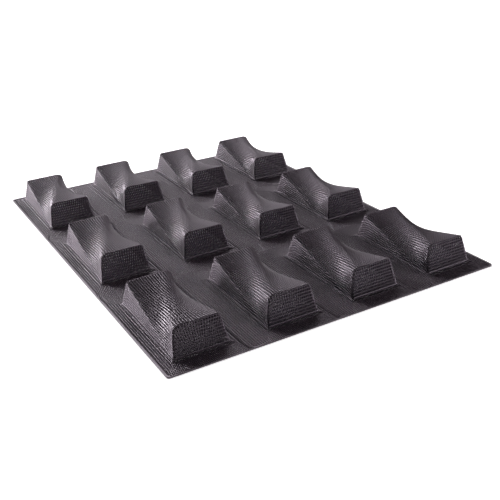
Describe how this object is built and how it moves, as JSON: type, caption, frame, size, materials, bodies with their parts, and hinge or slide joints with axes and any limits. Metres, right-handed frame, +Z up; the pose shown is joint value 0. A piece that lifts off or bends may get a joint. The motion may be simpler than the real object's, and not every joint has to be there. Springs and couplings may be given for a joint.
{
  "type": "baguette tray",
  "caption": "Flexible baking mat of dark silicone-coated glass-fibre mesh, with rows of twisted mini baguette moulds standing up from a flat web.",
  "frame": {"origin": "centre of the sheet, on the surface that the flat web lies on", "axes": "+X across the columns of moulds, +Y along the moulds towards the back row, +Z up through the moulds"},
  "size_m": [0.3, 0.4, 0.024],
  "materials": {
    "web_coating": "satin silicone over open glass-fibre mesh",
    "mould_coating": "satin silicone over open glass-fibre mesh"
  },
  "bodies": {
    "column_1": {"web_strip_1": "web_coating", "mould_front_1": "mould_coating", "mould_middle_1": "mould_coating", "mould_back_1": "mould_coating"},
    "column_2": {"web_strip_2": "web_coating", "mould_front_2": "mould_coating", "mould_middle_2": "mould_coating", "mould_back_2": "mould_coating"},
    "column_3": {"web_strip_3": "web_coating", "mould_front_3": "mould_coating", "mould_middle_3": "mould_coating", "mould_back_3": "mould_coating"},
    "column_4": {"web_strip_4": "web_coating", "mould_front_4": "mould_coating", "mould_middle_4": "mould_coating", "mould_back_4": "mould_coating"}
  },
  "joints": [
    {"name": "flex_12", "type": "hinge", "parent": "column_2", "child": "column_1", "pos_m": [-0.077, 0, 0.0005], "axis": [0, -1, 0], "range_deg": [-45, 60], "stiffness_Nm_per_rad": 0.1},
    {"name": "flex_23", "type": "hinge", "parent": "column_2", "child": "column_3", "pos_m": [0, 0, 0.0005], "axis": [0, 1, 0], "range_deg": [-45, 60], "stiffness_Nm_per_rad": 0.1},
    {"name": "flex_34", "type": "hinge", "parent": "column_3", "child": "column_4", "pos_m": [0.077, 0, 0.0005], "axis": [0, 1, 0], "range_deg": [-45, 60], "stiffness_Nm_per_rad": 0.1}
  ]
}
